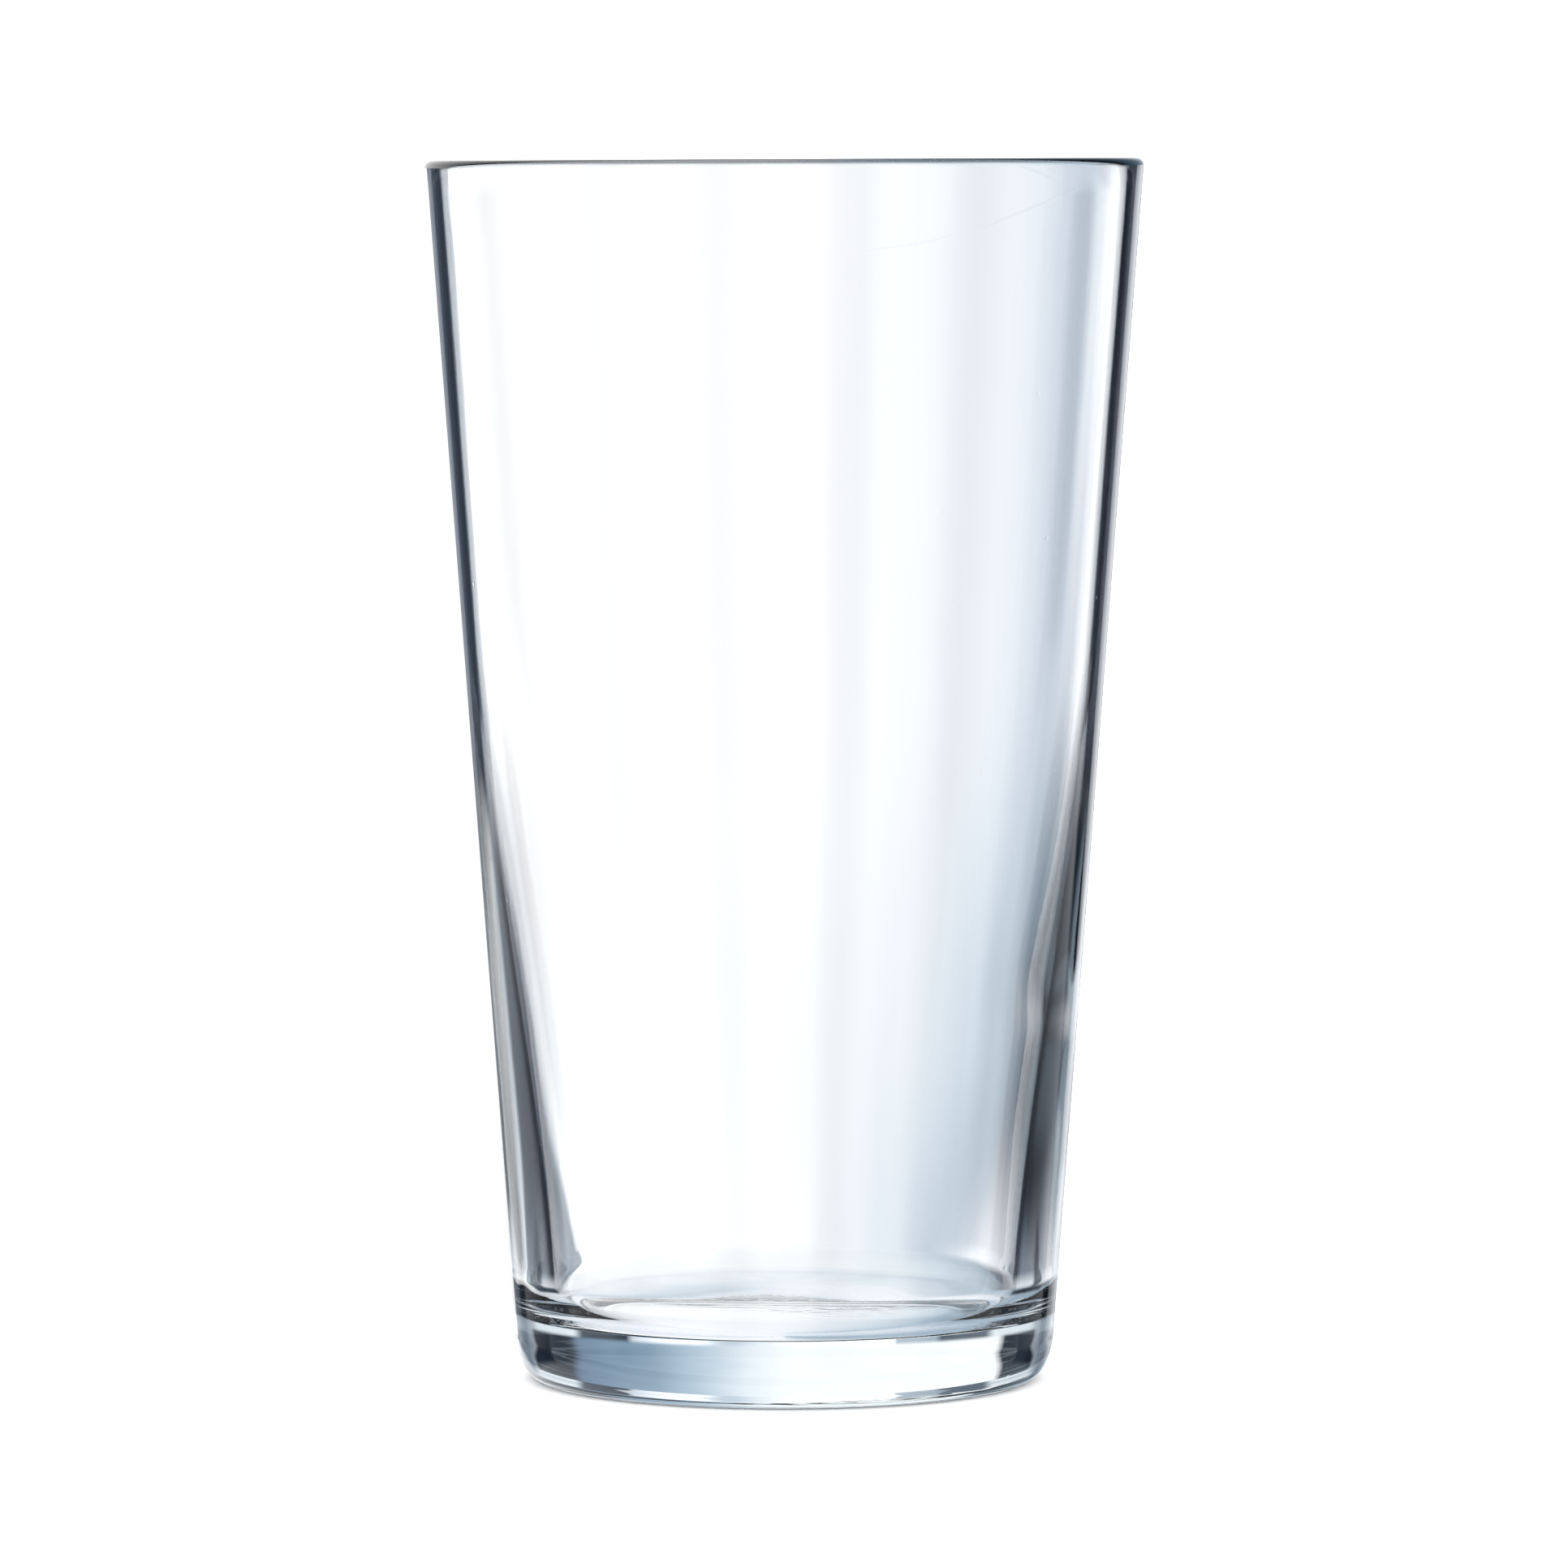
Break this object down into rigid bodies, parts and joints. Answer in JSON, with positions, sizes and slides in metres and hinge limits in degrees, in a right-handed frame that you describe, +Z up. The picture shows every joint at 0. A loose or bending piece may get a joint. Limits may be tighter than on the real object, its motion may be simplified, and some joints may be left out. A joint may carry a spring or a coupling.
{
  "type": "conical pint glass",
  "caption": "Tall straight-sided pint glass that tapers towards a thick solid base, with a rounded fire-polished rim.",
  "frame": {"origin": "centre of the foot, on the plane the glass stands on", "axes": "+Z up along the glass's axis, from the foot to the rim; X and Y are any two directions across it"},
  "size_m": [0.088, 0.088, 0.15],
  "materials": {
    "clear_glass": "polished clear soda-lime glass with a faint cool tint"
  },
  "bodies": {
    "root": {"glass_body": "clear_glass"}
  },
  "joints": []
}
